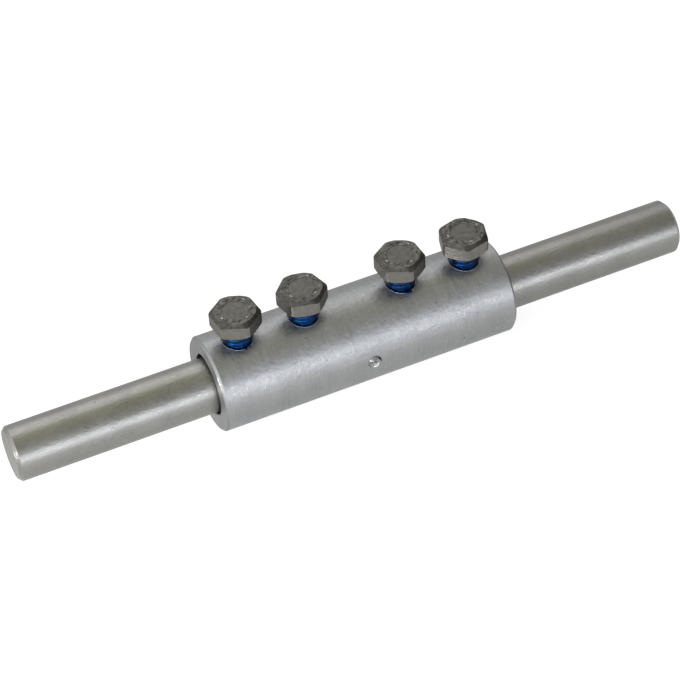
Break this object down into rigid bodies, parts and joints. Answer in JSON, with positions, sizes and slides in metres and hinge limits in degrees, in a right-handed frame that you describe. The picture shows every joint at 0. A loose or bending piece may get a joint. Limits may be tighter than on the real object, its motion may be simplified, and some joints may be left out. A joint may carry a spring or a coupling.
{
  "type": "bolted connecting sleeve",
  "caption": "Thick round metal sleeve that joins round bars end to end, with hex bolts driven through its top wall to clamp the bars in its bore.",
  "frame": {"origin": "middle of the sleeve's length, on the sleeve's lowest line", "axes": "+X along the bars towards the right bar's free end; +Z along the bolts, away from the bars; +Y completes a right-handed frame, so the stop pin's side is -Y"},
  "size_m": [0.2057, 0.028, 0.0382],
  "materials": {
    "zinc_plated_steel": "turned and zinc plated, satin with a bluish cast, fine pits and scuffs",
    "drawn_bar": "drawn bar, satin, neutral to olive grey, with fine pits",
    "stainless_bolt": "cold forged, dull warm grey with bright worn edges",
    "spring_steel": "rolled spring steel, semi-bright",
    "blue_coating": "deep blue dried coating, glossy"
  },
  "bodies": {
    "left_bar": {"left_bar": "drawn_bar"},
    "sleeve": {"sleeve": "zinc_plated_steel", "stop_pin": "spring_steel"},
    "right_bar": {"right_bar": "drawn_bar"},
    "bolt_1_coat": {"bolt_1_coat": "blue_coating"},
    "bolt_2_coat": {"bolt_2_coat": "blue_coating"},
    "bolt_3_coat": {"bolt_3_coat": "blue_coating"},
    "bolt_4_coat": {"bolt_4_coat": "blue_coating"},
    "bolt_1": {"bolt_1": "stainless_bolt"},
    "bolt_2": {"bolt_2": "stainless_bolt"},
    "bolt_3": {"bolt_3": "stainless_bolt"},
    "bolt_4": {"bolt_4": "stainless_bolt"}
  },
  "joints": [
    {"name": "sleeve_slide", "type": "slide", "parent": "left_bar", "child": "sleeve", "axis": [1, 0, 0], "range_m": [-0.001, 0.05]},
    {"name": "right_bar_slide", "type": "slide", "parent": "sleeve", "child": "right_bar", "axis": [1, 0, 0], "range_m": [0, 0.05]},
    {"name": "bolt_1_travel", "type": "slide", "parent": "sleeve", "child": "bolt_1_coat", "axis": [0, 0, 1], "range_m": [0, 0.00501]},
    {"name": "bolt_1_turn", "type": "hinge", "parent": "bolt_1_coat", "child": "bolt_1", "pos_m": [-0.035, 0, 0.033], "axis": [0, 0, 1], "range_deg": [0, 1440]},
    {"name": "bolt_2_travel", "type": "slide", "parent": "sleeve", "child": "bolt_2_coat", "axis": [0, 0, 1], "range_m": [0, 0.00501]},
    {"name": "bolt_2_turn", "type": "hinge", "parent": "bolt_2_coat", "child": "bolt_2", "pos_m": [-0.015, 0, 0.033], "axis": [0, 0, 1], "range_deg": [0, 1440]},
    {"name": "bolt_3_travel", "type": "slide", "parent": "sleeve", "child": "bolt_3_coat", "axis": [0, 0, 1], "range_m": [0, 0.00501]},
    {"name": "bolt_3_turn", "type": "hinge", "parent": "bolt_3_coat", "child": "bolt_3", "pos_m": [0.015, 0, 0.033], "axis": [0, 0, 1], "range_deg": [0, 1440]},
    {"name": "bolt_4_travel", "type": "slide", "parent": "sleeve", "child": "bolt_4_coat", "axis": [0, 0, 1], "range_m": [0, 0.00501]},
    {"name": "bolt_4_turn", "type": "hinge", "parent": "bolt_4_coat", "child": "bolt_4", "pos_m": [0.035, 0, 0.033], "axis": [0, 0, 1], "range_deg": [0, 1440]}
  ],
  "couplings": [
    {"joint": "bolt_1_travel", "follows": "bolt_1_turn", "m_per_rad": 0.00019894},
    {"joint": "bolt_2_travel", "follows": "bolt_2_turn", "m_per_rad": 0.00019894},
    {"joint": "bolt_3_travel", "follows": "bolt_3_turn", "m_per_rad": 0.00019894},
    {"joint": "bolt_4_travel", "follows": "bolt_4_turn", "m_per_rad": 0.00019894}
  ]
}
